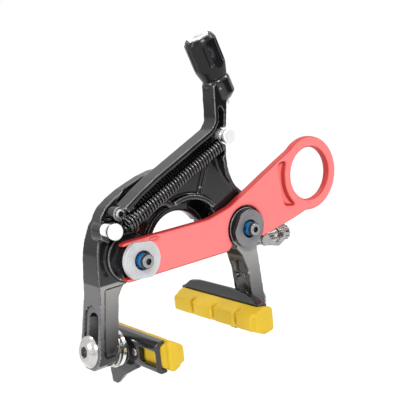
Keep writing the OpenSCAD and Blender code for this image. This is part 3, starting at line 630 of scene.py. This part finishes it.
def makeSpring(settings):
    curve = bpy.data.curves.new("springCurve", "CURVE")
    curve.dimensions = "3D"
    curve.bevel_depth = settings["wireRadius"] * millimetre
    curve.bevel_resolution = settings["wireResolution"]
    curve.use_fill_caps = True
    path = springPath(settings)
    spline = curve.splines.new("POLY")
    spline.points.add(len(path) - 1)
    for point, place in zip(spline.points, path):
        point.co = (*(place * millimetre), 1)
    bm = evaluatedShape(addObject("springWireRoute", curve))
    bpy.data.curves.remove(curve)
    piece = linkMesh("springCoil", bm, [springWire], "left_side", settings["smoothAngle"])
    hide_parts("return_spring")


makeSpring(springSettings)
print("stage: spring")


# studio: a pale floor that glows to the camera, an even white world, four lamps and a dark card
floorSettings = {"drop": 0.06, "size": 300.0, "colour": (0.93, 0.93, 0.93), "roughness": 0.9,
                 "glowShare": 0.85, "glow": 1.12}


def makeFloor(settings):
    lowest = sizeBefore[0][2]
    bm = bmesh.new()
    bmesh.ops.create_grid(bm, x_segments=1, y_segments=1, size=settings["size"] / 2)
    bmesh.ops.translate(bm, verts=bm.verts, vec=(0, 0, lowest - settings["drop"]))
    mesh = bpy.data.meshes.new("floor")
    bm.to_mesh(mesh)
    bm.free()
    floor = addObject("floor", mesh)
    material = bpy.data.materials.new("paleFloor")
    material.use_nodes = True
    tree = material.node_tree
    shader = tree.nodes["Principled BSDF"]
    shader.inputs["Base Color"].default_value = (*settings["colour"], 1)
    shader.inputs["Roughness"].default_value = settings["roughness"]
    glow = tree.nodes.new("ShaderNodeEmission")
    glow.inputs["Strength"].default_value = settings["glow"]
    mix = tree.nodes.new("ShaderNodeMixShader")
    rays = tree.nodes.new("ShaderNodeLightPath")
    share = addMath(tree, "MULTIPLY", rays.outputs["Is Camera Ray"], settings["glowShare"])
    tree.links.new(share, mix.inputs["Fac"])
    tree.links.new(shader.outputs[0], mix.inputs[1])
    tree.links.new(glow.outputs[0], mix.inputs[2])
    tree.links.new(mix.outputs[0], tree.nodes["Material Output"].inputs["Surface"])
    mesh.materials.append(material)


worldSettings = {"seen": 1.0, "diffuse": 0.42}


def makeWorld(settings):
    # full white to the camera, in gloss and through glass, and dimmer as a light on matt faces
    world = bpy.data.worlds.new("studioWorld")
    bpy.context.scene.world = world
    world.use_nodes = True
    tree = world.node_tree
    background = tree.nodes["Background"]
    background.inputs["Color"].default_value = (1, 1, 1, 1)
    rays = tree.nodes.new("ShaderNodeLightPath")
    seen = addMath(tree, "MAXIMUM", rays.outputs["Is Camera Ray"], rays.outputs["Is Glossy Ray"])
    either = addMath(tree, "MAXIMUM", seen, rays.outputs["Is Transmission Ray"])
    strength = tree.nodes.new("ShaderNodeMapRange")
    strength.inputs["To Min"].default_value = settings["diffuse"]
    strength.inputs["To Max"].default_value = settings["seen"]
    tree.links.new(either, strength.inputs["Value"])
    tree.links.new(strength.outputs["Result"], background.inputs["Strength"])


lampSettings = {
    "keyLamp": {"place": (-0.45, -0.8, 0.75), "aim": (0, 0, 0), "size": (0.3, 0.3), "power": 8.3},
    "edgeLamp": {"place": (0.62, -0.25, 0.75), "aim": (0, 0, 0), "size": (0.2, 0.6), "power": 4.0},
    "stripLamp": {"place": (-0.95, 0.25, 0.35), "aim": (0, 0, 0), "size": (0.12, 0.9), "power": 4.0},
    "topLamp": {"place": (0.1, 0.5, 0.95), "aim": (0, 0, 0.02), "size": (0.7, 0.2), "power": 4.0},
}


def aimRotation(settings):
    return (Vector(settings["aim"]) - Vector(settings["place"])).to_track_quat("-Z", "Y")


def addLamp(name, settings):
    light = bpy.data.lights.new(name, "AREA")
    light.shape = "RECTANGLE"
    light.size, light.size_y = settings["size"]
    light.energy = settings["power"]
    lamp = addObject(name, light)
    lamp.location = settings["place"]
    lamp.rotation_euler = aimRotation(settings).to_euler()


cardSettings = {"place": (0.62, -0.8, -0.12), "aim": (0, 0, 0), "size": (1.5, 0.9),
                "black": (0.004, 0.004, 0.004), "roughness": 0.9}


def addDarkCard(settings):
    # a matt black card beside the camera that only shows in gloss, as photographers use
    bm = bmesh.new()
    bmesh.ops.create_grid(bm, x_segments=1, y_segments=1, size=0.5)
    bmesh.ops.scale(bm, verts=bm.verts, vec=(*settings["size"], 1))
    bmesh.ops.rotate(bm, verts=bm.verts, matrix=aimRotation(settings).to_matrix())
    bmesh.ops.translate(bm, verts=bm.verts, vec=settings["place"])
    mesh = bpy.data.meshes.new("darkCard")
    bm.to_mesh(mesh)
    bm.free()
    material, shader = startMaterial("cardBlack", settings["roughness"])
    shader.inputs["Base Color"].default_value = (*settings["black"], 1)
    mesh.materials.append(material)
    card = addObject("darkCard", mesh)
    card.visible_camera = False
    card.visible_diffuse = False
    card.visible_shadow = False


makeFloor(floorSettings)
makeWorld(worldSettings)
for lampName, settings in lampSettings.items():
    addLamp(lampName, settings)
addDarkCard(cardSettings)

# camera, fitted to the photograph through the 56 mm bolt spacing
cameraSettings = {"place": (-0.2058, -0.2712, 0.0851), "focalPixels": 857.6634, "imagePixels": 416,
                  "right": (0.7702, -0.6296, -0.1023), "down": (-0.2068, -0.0948, -0.9738),
                  "forward": (0.6033, 0.7712, -0.2032), "sensorWidth": 36, "nearest": 0.01}


def makeCamera(settings):
    data = bpy.data.cameras.new("photoCamera")
    data.sensor_width = settings["sensorWidth"]
    data.lens = settings["focalPixels"] / settings["imagePixels"] * data.sensor_width
    data.clip_start = settings["nearest"]
    camera = addObject("photoCamera", data)
    up = [-value for value in settings["down"]]
    back = [-value for value in settings["forward"]]
    turn = Matrix((settings["right"], up, back)).transposed()
    square = turn.to_quaternion().to_matrix().to_4x4()
    camera.matrix_world = Matrix.Translation(settings["place"]) @ square
    bpy.context.scene.camera = camera


makeCamera(cameraSettings)
bpy.context.scene.view_settings.view_transform = "Standard"
print("stage: studio and camera")
